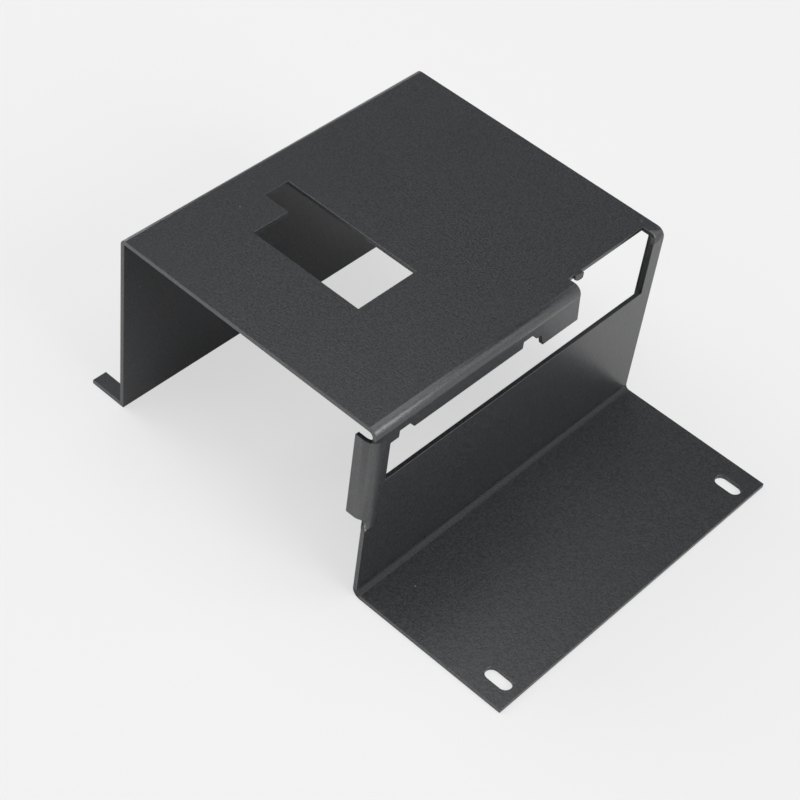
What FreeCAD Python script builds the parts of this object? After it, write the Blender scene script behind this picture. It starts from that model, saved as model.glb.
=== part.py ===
"""Sheet metal chassis: one blank of 1.5 mm steel, cut out and folded, powder coated.

Seen from the front (looking along +Y) the sheet runs from a small foot tab at the left, up the
left wall, across the top plate, down the right wall and out along a wide screw-down foot.
All lengths are in millimetres. The origin is on the floor, under the middle of the outline.
"""
import FreeCAD
import Part
import math
import os

# The sheet
sheet = 1.5                 # thickness of the steel with its coating
tight_bend = 0.5            # inner radius of the left wall's bend to the top plate
wide_bend = 1.5             # inner radius of the right wall's bends to the top plate and foot

# The folded body, measured over its outer faces
body_width = 100.0          # left wall to right wall
body_height = 67.7          # floor to top plate
body_depth = 123.2          # front edge to rear edge
foot_reach = 54.6           # how far the foot stands out from the right wall

# Screw slots in the foot, with their long side across the foot
slot_width = 4.5
slot_length = 9.0
slot_edge = 7.3             # slot centre to the free edge of the foot
slot_front = 7.75           # front edge to the front slot
slot_rear = 8.75            # rear edge to the rear slot

# Small tab at the foot of the left wall
tab_reach = 12.4            # how far it stands out from the wall
tab_width = 5.3

# Cut-out in the top plate: a rectangle with a shorter slot that runs on to the left
cut_left = 22.4             # left wall to the rectangle
cut_front = 30.3            # front edge to the rectangle
cut_width = 41.4
cut_depth = 23.4
cut_slot_length = 9.8       # how far the slot runs past the rectangle
cut_slot_depth = 9.5        # the slot lies along the rectangle's rear side

# Window in the right wall
window_sill = 45.2          # floor to the lower edge of the window
window_front = 5.6          # front edge to the window
window_rear_bar = 5.1       # width of the bar that is left behind the window
notch_margin = 5.4          # how far the window reaches round the bend into the top plate
notch_rear_bar = 4.3        # width of the same bar in the top plate

# Apron: the strip of the wall that hangs from the top plate above the window
apron_drop = 8.0            # top face to the lower edge of the apron
apron_notch_depth = 2.5     # two small notches in that edge
apron_notch_width = 4.0
apron_notch_slope = 2.0     # run of the notch's slanted rear side
apron_notch_1 = 9.5         # front edge to each notch
apron_notch_2 = 60.2
tongue_drop = 12.7          # the apron's rear end hangs lower, as a tongue
tongue_start = 68.2
tongue_end = 85.5
tongue_slope = 1.6          # run of the tongue's slanted front side
tongue_taper = 1.1          # how far its rear edge leans forward at the bend

# Lips that stiffen the front and rear edges of the right wall
lip_bottom = 30.7
lip_run_out = 2.4           # height over which the wall goes over from flat to the front lip
front_lip_top = 61.7
front_lip_reach = 7.5       # outer face of the wall to the lip's free edge
front_lip_bend = 3.2        # inner radius
rear_lip_top = 63.7
rear_lip_reach = 4.5

# Lug left on the notch's edge behind the tongue, drawn down a little by the bend
lug_gap = 1.7               # tongue to the lug
lug_length = 3.2
lug_reach = 1.2             # how far its rear end stands out from the notch's edge
lug_front_reach = 0.6       # and its front end
lug_drop = 1.1              # how far its rounded rim hangs below the plate

# Values that follow from those above
wide_outer = wide_bend + sheet
bend_foot = body_height - wide_outer        # where the flat wall meets the top bend
inner_right = body_width - sheet
plate_under = body_height - sheet
window_rear = body_depth - window_rear_bar
notch_rear = body_depth - notch_rear_bar
apron_edge = body_height - apron_drop
tongue_edge = body_height - tongue_drop
notch_left = body_width - notch_margin
past = 5.0                  # how far cutting shapes run past the sheet


def vec(x, y, z):
    return FreeCAD.Vector(x, y, z)


def strip_section(corners, bends, place):
    """Face of a folded strip of sheet: corners of its middle line, and the inner bend radii."""
    half = sheet / 2
    points = [FreeCAD.Vector(a, b, 0) for a, b in corners]
    heading = [(q - p).normalize() for p, q in zip(points, points[1:])]
    across = [FreeCAD.Vector(-d.y, d.x, 0) for d in heading]

    def skin(side):
        """Edges of one face of the strip, side +1 on the left of the line and -1 on the right."""
        edges = []
        last = points[0] + across[0] * half * side
        for i, bend in enumerate(bends):
            corner = points[i + 1]
            turn = heading[i].cross(heading[i + 1]).z
            middle = bend + half
            run = middle * math.tan(abs(math.asin(turn)) / 2)
            centre = corner - heading[i] * run + across[i] * math.copysign(middle, turn)
            radius = middle - half * side * math.copysign(1, turn)
            inward = (centre - corner).normalize()
            start = corner - heading[i] * run + across[i] * half * side
            end = corner + heading[i + 1] * run + across[i + 1] * half * side
            edges.append(Part.makeLine(place(last), place(start)))
            arc = Part.Arc(place(start), place(centre - inward * radius), place(end))
            edges.append(arc.toShape())
            last = end
        edges.append(Part.makeLine(place(last), place(points[-1] + across[-1] * half * side)))
        return edges

    left = skin(1)
    right = skin(-1)
    caps = [
        Part.makeLine(left[0].Vertexes[0].Point, right[0].Vertexes[0].Point),
        Part.makeLine(left[-1].Vertexes[-1].Point, right[-1].Vertexes[-1].Point),
    ]
    return Part.Face(Part.Wire(Part.__sortEdges__(left + right + caps)))


def upright(y):
    """Places a section in the XZ plane at y."""
    return lambda p: vec(p.x, y, p.y)


def level(z):
    """Places a section in the XY plane at z."""
    return lambda p: vec(p.x, p.y, z)


def block(x0, x1, y0, y1, z0, z1):
    """Box between two corners."""
    return Part.makeBox(x1 - x0, y1 - y0, z1 - z0, vec(x0, y0, z0))


def folded_body():
    """Left wall, top plate, right wall and foot, folded from one strip."""
    mid = sheet / 2
    corners = [
        (mid, 0),
        (mid, body_height - mid),
        (body_width - mid, body_height - mid),
        (body_width - mid, mid),
        (body_width + foot_reach, mid),
    ]
    section = strip_section(corners, [tight_bend, wide_bend, wide_bend], upright(0))
    return section.extrude(vec(0, body_depth, 0))


def run_out(bend, flat_at, bent_at, place):
    """Short length of a sheet's edge that is flat at flat_at and one radian into its bend at bent_at.

    place(depth, inset, along) gives a point from its depth below the face that becomes the outside
    of the bend, its distance from the sheet's edge, and its place along that edge.
    """
    outer = bend + sheet

    def rim(radius, angle):
        return place(outer - radius * math.cos(angle), outer - radius * math.sin(angle), bent_at)

    corners = [(sheet, outer), (sheet, 0), (0, 0), (0, outer)]
    flat = [place(depth, inset, flat_at) for depth, inset in corners]
    inside = Part.Arc(rim(bend, 0), rim(bend, 0.5), rim(bend, 1)).toShape()
    end = Part.makeLine(rim(bend, 1), rim(outer, 1))
    outside = Part.Arc(rim(outer, 1), rim(outer, 0.5), rim(outer, 0)).toShape()
    root = Part.makeLine(rim(outer, 0), rim(bend, 0))
    bent = Part.Wire([inside, end, outside, root])
    return Part.makeLoft([Part.makePolygon(flat + flat[:1]), bent], True, True)


def add_foot_tab(body):
    """Turns the front corner of the left wall's lower edge sharply outwards as a tab."""
    return body.fuse(block(-tab_reach, 0, 0, tab_width, 0, sheet))


def add_rear_lip(body):
    """Turns part of the right wall's rear edge sharply inwards as a lip."""
    free_edge = body_width - rear_lip_reach
    inner_face = body_depth - sheet
    return body.fuse(block(free_edge, inner_right, inner_face, body_depth, lip_bottom, rear_lip_top))


def add_front_lip(body):
    """Turns part of the right wall's front edge inwards as a wide-bent lip."""
    mid = sheet / 2
    outer = front_lip_bend + sheet
    wall_mid = body_width - mid
    corners = [(wall_mid, outer + sheet), (wall_mid, mid), (body_width - front_lip_reach, mid)]
    height = front_lip_top - lip_bottom
    lip = strip_section(corners, [front_lip_bend], level(lip_bottom)).extrude(vec(0, 0, height))

    def place(depth, inset, along):
        return vec(body_width - depth, inset, along)

    flat_below = lip_bottom - lip_run_out
    lower = run_out(front_lip_bend, flat_below, lip_bottom, place)
    upper = run_out(front_lip_bend, bend_foot, front_lip_top, place)
    room = block(inner_right - past, body_width + past, -past, outer, flat_below, bend_foot)
    return body.cut(room).fuse([lip, lower, upper])


def add_lug(body):
    """Leaves a small lug, round below, on the notch's edge behind the tongue."""
    front = tongue_end + lug_gap
    rear = front + lug_length
    rim = [
        vec(notch_left, front, plate_under),
        vec(notch_left, (front + rear) / 2, plate_under - lug_drop),
        vec(notch_left, rear, plate_under - lug_drop / 2),
    ]
    upright_end = [rim[2], vec(notch_left, rear, body_height)]
    top = [upright_end[1], vec(notch_left, front, body_height)]
    edges = [Part.Arc(*rim).toShape(), Part.makeLine(*upright_end), Part.makeLine(*top)]
    edges.append(Part.makeLine(top[1], rim[0]))
    lug = Part.Face(Part.Wire(edges)).extrude(vec(lug_reach, 0, 0))
    slant = [
        vec(notch_left + lug_front_reach, front, plate_under - past),
        vec(notch_left + lug_reach, rear, plate_under - past),
        vec(notch_left + lug_reach, front, plate_under - past),
    ]
    waste = Part.Face(Part.makePolygon(slant + slant[:1])).extrude(vec(0, 0, 2 * past + sheet))
    return body.fuse(lug.cut(waste))


def window_shape():
    """Cutting shape of the window: its outline seen from the right, through the right wall."""
    notch_top = apron_edge + apron_notch_depth
    outline = [(window_front, window_sill), (window_front, apron_edge)]
    for notch in (apron_notch_1, apron_notch_2):
        rear = notch + apron_notch_width
        outline.append((notch, apron_edge))
        outline.append((notch, notch_top))
        outline.append((rear, notch_top))
        outline.append((rear + apron_notch_slope, apron_edge))
    outline.append((tongue_start, apron_edge))
    outline.append((tongue_start + tongue_slope, tongue_edge))
    outline.append((tongue_end, tongue_edge))
    outline.append((tongue_end - tongue_taper, bend_foot))
    outline.append((tongue_end, body_height + past))
    outline.append((notch_rear, body_height + past))
    outline.append((notch_rear, plate_under))
    outline.append((window_rear, bend_foot))
    outline.append((window_rear, window_sill))
    points = [vec(notch_left, y, z) for y, z in outline]
    face = Part.Face(Part.makePolygon(points + points[:1]))
    return face.extrude(vec(notch_margin + past, 0, 0))


def top_cutout():
    """Cutting shape of the stepped cut-out in the top plate."""
    right = cut_left + cut_width
    rear = cut_front + cut_depth
    step = rear - cut_slot_depth
    slot_left = cut_left - cut_slot_length
    outline = [
        (cut_left, cut_front),
        (right, cut_front),
        (right, rear),
        (slot_left, rear),
        (slot_left, step),
        (cut_left, step),
    ]
    points = [vec(x, y, plate_under - past) for x, y in outline]
    face = Part.Face(Part.makePolygon(points + points[:1]))
    return face.extrude(vec(0, 0, sheet + 2 * past))


def foot_slots():
    """Cutting shapes of the two round-ended screw slots."""
    half = (slot_length - slot_width) / 2
    radius = slot_width / 2
    x = body_width + foot_reach - slot_edge
    slots = []
    for y in (slot_front, body_depth - slot_rear):
        near = vec(x - half, y - radius, -past)
        far = vec(x + half, y + radius, -past)
        lower = Part.makeLine(near, vec(far.x, near.y, -past))
        nose = Part.Arc(vec(far.x, near.y, -past), vec(far.x + radius, y, -past), far).toShape()
        upper = Part.makeLine(far, vec(near.x, far.y, -past))
        tail = Part.Arc(vec(near.x, far.y, -past), vec(near.x - radius, y, -past), near).toShape()
        face = Part.Face(Part.Wire([lower, nose, upper, tail]))
        slots.append(face.extrude(vec(0, 0, sheet + 2 * past)))
    return slots


def chassis():
    """The whole folded sheet."""
    body = add_foot_tab(folded_body())
    body = body.cut([window_shape(), top_cutout()] + foot_slots())
    body = add_rear_lip(add_front_lip(body))
    return add_lug(body).removeSplitter()


def place_on_origin(shape):
    """Moves the part so that its origin is on the floor under the middle of its outline."""
    middle_x = (body_width + foot_reach - tab_reach) / 2
    shape.translate(vec(-middle_x, -body_depth / 2, 0))
    return shape


os.makedirs("parts", exist_ok=True)
folded_chassis = place_on_origin(chassis())
print("folded_chassis", folded_chassis.isValid(), len(folded_chassis.Solids), folded_chassis.Volume)
folded_chassis.exportStep("parts/folded_chassis.step")
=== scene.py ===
"""Looks of the folded sheet metal chassis: a satin, finely grained dark grey powder coat on steel.

Lengths are in metres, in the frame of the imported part: +Z up, +X towards the wide foot,
+Y from the front edge to the rear edge, origin on the floor under the middle of the outline.
"""

import math

import bpy
from mathutils import Matrix, Vector

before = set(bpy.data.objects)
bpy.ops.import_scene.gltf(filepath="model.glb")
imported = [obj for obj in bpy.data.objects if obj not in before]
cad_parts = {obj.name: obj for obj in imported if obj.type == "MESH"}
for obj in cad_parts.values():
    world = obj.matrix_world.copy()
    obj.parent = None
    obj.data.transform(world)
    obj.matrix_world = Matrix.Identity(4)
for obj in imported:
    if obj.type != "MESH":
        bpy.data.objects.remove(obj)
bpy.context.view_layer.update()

MM = 0.001

# Camera: where it stands, what its axis points at, and how it is rolled and zoomed
CAMERA_PLACE = (0.25453, -0.35077, 0.45631)
CAMERA_TARGET = (0.00494, -0.02267, 0.03495)
CAMERA_ROLL = 8.2              # degrees
CAMERA_LENS = 92.5             # millimetres, as SENSOR_WIDTH is
SENSOR_WIDTH = 36.0

# Rounding of the coated edges
EDGE_ROUND = 0.18 * MM
EDGE_STEPS = 2
WELD_REACH = 0.01 * MM
FLAT_ANGLE = 0.3               # degrees, between facets that are one flat face
SHARP_ANGLE = 35.0             # degrees, from which an edge is rounded

# A noise texture's values lie mostly between these
NOISE_SPAN = (0.3, 0.7)

# Powder coat
COAT_COLOR = (0.0164, 0.0176, 0.0209)
COAT_ROUGHNESS = 0.34
COAT_SPECULAR = 1.0            # specular level, for a coat somewhat glossier than plain paint
GRAIN = 0.62 * MM              # size of the coat's fine grains
GRAIN_DETAIL = 1.0
GRAIN_HEIGHT = 0.043 * MM
GRAIN_SHADE = 0.70             # how much lighter or darker single grains are, as a share
PEEL = 1.9 * MM                # size of the soft waves under the grain
PEEL_DETAIL = 2.0
PEEL_HEIGHT = 0.010 * MM
CLOUD = 22 * MM                # size of the faint clouds in the coat
CLOUD_DETAIL = 4.0
CLOUD_SHADE = 0.04             # how much lighter or darker they are, as a share
SPECK_SPACING = 9 * MM         # size of the cells that hold one speck of dust or none
SPECK = 0.24 * MM              # radius of a speck
SPECK_SHARE = 0.6              # share of the cells that hold one
SPECK_COLOR = (0.16, 0.16, 0.155)

# In the fold between wall and foot the coat is duller, and its colour is darkened there as painted shade
FOLD = (28.9 * MM, 0, 1.5 * MM)  # a point on the line of the fold, which runs along Y
FOLD_CORE = 0.9 * MM           # how far from that line the coat is dullest
FOLD_REACH = 1.9 * MM          # and where it is as elsewhere
FOLD_ROUGHNESS = 0.8
FOLD_PAINTED_SHADE = 0.2               # painted shade: brightness of the coat's colour in the fold, as a share

# Studio: soft boxes by name, with place, size and power in watts; all point at the object's middle
LAMP_AIM = (0, 0, 0.03)
SOFT_BOXES = {
    "overhead": ((0, 0, 2.4), 2.8, 40),
    "left": ((-2.1, -0.3, 1.4), 1.4, 32),
    "front left": ((-1.35, -1.65, 1.35), 1.3, 9),
    "right": ((2.1, 0, 1.35), 1.3, 28),
    "rear right": ((1.3, 1.5, 1.6), 1.3, 7),
}

# Backdrop and floor
FLOOR_COLOR = 0.85
PALE = 0.86                    # brightness of the backdrop near the horizon and of the floor's own glow
ROOM = 0.04                    # brightness of the dim room above the backdrop
BACKDROP_TOP = 0.26            # height, as a share of the way to straight up, where it starts to dim
BACKDROP_END = 0.57            # and where the room begins
# How much of the backdrop each kind of ray sees; all others see the dim room in its place
BACKDROP_SEEN = {"Is Camera Ray": 1, "Is Glossy Ray": 1, "Is Transmission Ray": 1}
# Share of its own glow in the floor's light, which softens its shadow, by kind of ray
FLOOR_GLOW = {"Is Camera Ray": 0.7, "Is Glossy Ray": 0.02, "Is Transmission Ray": 0.02}
FLOOR_HALF = 4.0


def aim(obj, place, target, roll=0.0):
    """Puts an object at a place, with its -Z axis towards a target."""
    place = Vector(place)
    look = (Vector(target) - place).to_track_quat("-Z", "Y")
    spin = Matrix.Rotation(math.radians(roll), 4, "Z")
    obj.matrix_world = Matrix.Translation(place) @ look.to_matrix().to_4x4() @ spin


def make_camera():
    """The camera that sees the object as the photograph does."""
    data = bpy.data.cameras.new("camera")
    data.lens = CAMERA_LENS
    data.sensor_width = SENSOR_WIDTH
    camera = bpy.data.objects.new("camera", data)
    bpy.context.scene.collection.objects.link(camera)
    aim(camera, CAMERA_PLACE, CAMERA_TARGET, CAMERA_ROLL)
    bpy.context.scene.camera = camera


def soft_box(name, place, size, power):
    """A square lamp that points at the object's middle."""
    data = bpy.data.lights.new(name, "AREA")
    data.shape = "SQUARE"
    data.size = size
    data.energy = power
    lamp = bpy.data.objects.new(name, data)
    bpy.context.scene.collection.objects.link(lamp)
    aim(lamp, place, LAMP_AIM)


def feed(tree, socket, value):
    """Links another node's output to a socket, or sets a plain value on it."""
    if isinstance(value, bpy.types.NodeSocket):
        tree.links.new(value, socket)
    else:
        socket.default_value = value


def math_node(tree, operation, *values):
    """Math node on plain numbers or other nodes' outputs; returns its value."""
    node = tree.nodes.new("ShaderNodeMath")
    node.operation = operation
    for socket, value in zip(node.inputs, values):
        feed(tree, socket, value)
    return node.outputs["Value"]


def vector_node(tree, operation, *values):
    """Vector math node on plain vectors or other nodes' outputs; returns the node."""
    node = tree.nodes.new("ShaderNodeVectorMath")
    node.operation = operation
    for socket, value in zip(node.inputs, values):
        feed(tree, socket, value)
    return node


def product(tree, first, second):
    return math_node(tree, "MULTIPLY", first, second)


def below(tree, value, limit):
    """1 where a value is below a limit, and 0 elsewhere."""
    return math_node(tree, "LESS_THAN", value, limit)


def remapped(tree, value, start, end, interpolation="LINEAR"):
    """Value moved from the span start to the span end, and kept within it."""
    node = tree.nodes.new("ShaderNodeMapRange")
    node.interpolation_type = interpolation
    tree.links.new(value, node.inputs["Value"])
    node.inputs["From Min"].default_value = start[0]
    node.inputs["From Max"].default_value = start[1]
    node.inputs["To Min"].default_value = end[0]
    node.inputs["To Max"].default_value = end[1]
    return node.outputs["Result"]


def grey(level):
    return (level, level, level, 1)


def mixed_color(tree, factor, low, high):
    """Colour between two others, by a factor that changes over the surface."""
    mix = tree.nodes.new("ShaderNodeMix")
    mix.data_type = "RGBA"
    tree.links.new(factor, mix.inputs["Factor"])
    feed(tree, mix.inputs["A"], low)
    feed(tree, mix.inputs["B"], high)
    return mix.outputs["Result"]


def scaled_color(tree, color, factor):
    """Colour times a value that changes over the surface."""
    node = vector_node(tree, "SCALE", color)
    tree.links.new(factor, node.inputs["Scale"])
    return node.outputs["Vector"]


def by_ray(tree, shares):
    """A value that is a given share for each kind of ray named, and 0 for all others."""
    ray = tree.nodes.new("ShaderNodeLightPath")
    total = 0
    for kind, share in shares.items():
        total = math_node(tree, "MULTIPLY_ADD", ray.outputs[kind], share, total)
    return total


def make_world():
    """A dim room with a pale backdrop round the horizon, which gives no light but is seen and mirrored."""
    world = bpy.data.worlds.new("studio")
    bpy.context.scene.world = world
    world.use_nodes = True
    tree = world.node_tree
    place = tree.nodes.new("ShaderNodeTexCoord").outputs["Generated"]
    parts = tree.nodes.new("ShaderNodeSeparateXYZ")
    tree.links.new(place, parts.inputs["Vector"])
    fade = remapped(tree, parts.outputs["Z"], (BACKDROP_TOP, BACKDROP_END), (1, 0), "SMOOTHSTEP")
    pale = product(tree, fade, by_ray(tree, BACKDROP_SEEN))
    color = mixed_color(tree, pale, grey(ROOM), grey(PALE))
    tree.links.new(color, tree.nodes["Background"].inputs["Color"])


def floor_material():
    """Pale and matt; the camera and mirrors see its shadow softened by a share of its own glow."""
    material = bpy.data.materials.new("floor")
    material.use_nodes = True
    tree = material.node_tree
    tree.nodes.remove(tree.nodes["Principled BSDF"])
    matt = tree.nodes.new("ShaderNodeBsdfDiffuse")
    matt.inputs["Color"].default_value = grey(FLOOR_COLOR)
    glow = tree.nodes.new("ShaderNodeEmission")
    glow.inputs["Color"].default_value = grey(PALE)
    mix = tree.nodes.new("ShaderNodeMixShader")
    tree.links.new(by_ray(tree, FLOOR_GLOW), mix.inputs["Fac"])
    tree.links.new(matt.outputs["BSDF"], mix.inputs[1])
    tree.links.new(glow.outputs["Emission"], mix.inputs[2])
    tree.links.new(mix.outputs["Shader"], tree.nodes["Material Output"].inputs["Surface"])
    return material


def make_floor():
    """A square of floor round the object."""
    mesh = bpy.data.meshes.new("floor")
    h = FLOOR_HALF
    mesh.from_pydata([(-h, -h, 0), (h, -h, 0), (h, h, 0), (-h, h, 0)], [], [(0, 1, 2, 3)])
    mesh.materials.append(floor_material())
    floor = bpy.data.objects.new("floor", mesh)
    bpy.context.scene.collection.objects.link(floor)


def noise(tree, place, size, detail):
    """Noise texture with features of a given size; returns its value, which runs about 0.5."""
    node = tree.nodes.new("ShaderNodeTexNoise")
    node.inputs["Scale"].default_value = 1 / size
    node.inputs["Detail"].default_value = detail
    tree.links.new(place, node.inputs["Vector"])
    return node.outputs["Fac"]


def shading(tree, value, amount):
    """Turns a noise value into one that runs about 1, by an amount to each side."""
    return remapped(tree, value, NOISE_SPAN, (1 - amount, 1 + amount))


def relief(tree, value, height, under=None):
    """Bump from a noise value, on top of another bump's normal; returns the normal."""
    node = tree.nodes.new("ShaderNodeBump")
    node.inputs["Distance"].default_value = height
    tree.links.new(value, node.inputs["Height"])
    if under:
        tree.links.new(under, node.inputs["Normal"])
    return node.outputs["Normal"]


def dust_mask(tree, place):
    """Tiny dots, one at the point that each of some cells of a cell pattern lies round."""
    cells = tree.nodes.new("ShaderNodeTexVoronoi")
    cells.inputs["Scale"].default_value = 1 / SPECK_SPACING
    tree.links.new(place, cells.inputs["Vector"])
    chance = tree.nodes.new("ShaderNodeSeparateXYZ")
    tree.links.new(cells.outputs["Color"], chance.inputs["Vector"])
    dots = below(tree, cells.outputs["Distance"], SPECK / SPECK_SPACING)
    return product(tree, dots, below(tree, chance.outputs["X"], SPECK_SHARE))


def away_from_fold(tree, place):
    """Distance to the line of the fold."""
    offset = vector_node(tree, "SUBTRACT", place, FOLD).outputs["Vector"]
    across = vector_node(tree, "MULTIPLY", offset, (1, 0, 1)).outputs["Vector"]
    return vector_node(tree, "LENGTH", across).outputs["Value"]


def by_fold(tree, distance, inside, outside):
    """A value that goes over from the one in the fold to the one elsewhere."""
    return remapped(tree, distance, (FOLD_CORE, FOLD_REACH), (inside, outside), "SMOOTHSTEP")


def coat_material():
    """Dark grey powder coat: soft waves and fine grain in relief, faint clouds, a few specks of dust, and
    painted shade that darkens the fold.
    """
    material = bpy.data.materials.new("powder_coat")
    material.use_nodes = True
    tree = material.node_tree
    shader = tree.nodes["Principled BSDF"]
    place = tree.nodes.new("ShaderNodeTexCoord").outputs["Object"]
    grain = noise(tree, place, GRAIN, GRAIN_DETAIL)
    peel = noise(tree, place, PEEL, PEEL_DETAIL)
    clouds = noise(tree, place, CLOUD, CLOUD_DETAIL)
    fold = away_from_fold(tree, place)

    shade = product(tree, shading(tree, grain, GRAIN_SHADE), shading(tree, clouds, CLOUD_SHADE))
    # painted shade: the coat's colour is darkened along the fold between wall and foot
    shade = product(tree, shade, by_fold(tree, fold, FOLD_PAINTED_SHADE, 1))
    coat = scaled_color(tree, COAT_COLOR, shade)
    # the specks of dust go on top of the coat colour, which holds the painted shade of the fold
    dust_and_painted_shade = mixed_color(tree, dust_mask(tree, place), coat, (*SPECK_COLOR, 1))
    tree.links.new(dust_and_painted_shade, shader.inputs["Base Color"])

    roughness = by_fold(tree, fold, FOLD_ROUGHNESS, COAT_ROUGHNESS)
    tree.links.new(roughness, shader.inputs["Roughness"])
    shader.inputs["Specular IOR Level"].default_value = COAT_SPECULAR
    normal = relief(tree, grain, GRAIN_HEIGHT, relief(tree, peel, PEEL_HEIGHT))
    tree.links.new(normal, shader.inputs["Normal"])
    return material


def round_edges(obj):
    """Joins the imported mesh's split corners and flat facets, and rounds its sharp edges."""
    weld = obj.modifiers.new("join corners", "WELD")
    weld.merge_threshold = WELD_REACH
    flat = obj.modifiers.new("join flat facets", "DECIMATE")
    flat.decimate_type = "DISSOLVE"
    flat.angle_limit = math.radians(FLAT_ANGLE)
    bevel = obj.modifiers.new("edge rounding", "BEVEL")
    bevel.width = EDGE_ROUND
    bevel.segments = EDGE_STEPS
    bevel.limit_method = "ANGLE"
    bevel.angle_limit = math.radians(SHARP_ANGLE)
    bevel.use_clamp_overlap = False
    bevel.harden_normals = True


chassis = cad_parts["folded_chassis"]
chassis.material_slots[0].material = coat_material()
round_edges(chassis)
make_camera()
for name, (place, size, power) in SOFT_BOXES.items():
    soft_box(name, place, size, power)
make_world()
make_floor()
bpy.context.scene.view_settings.view_transform = "Standard"
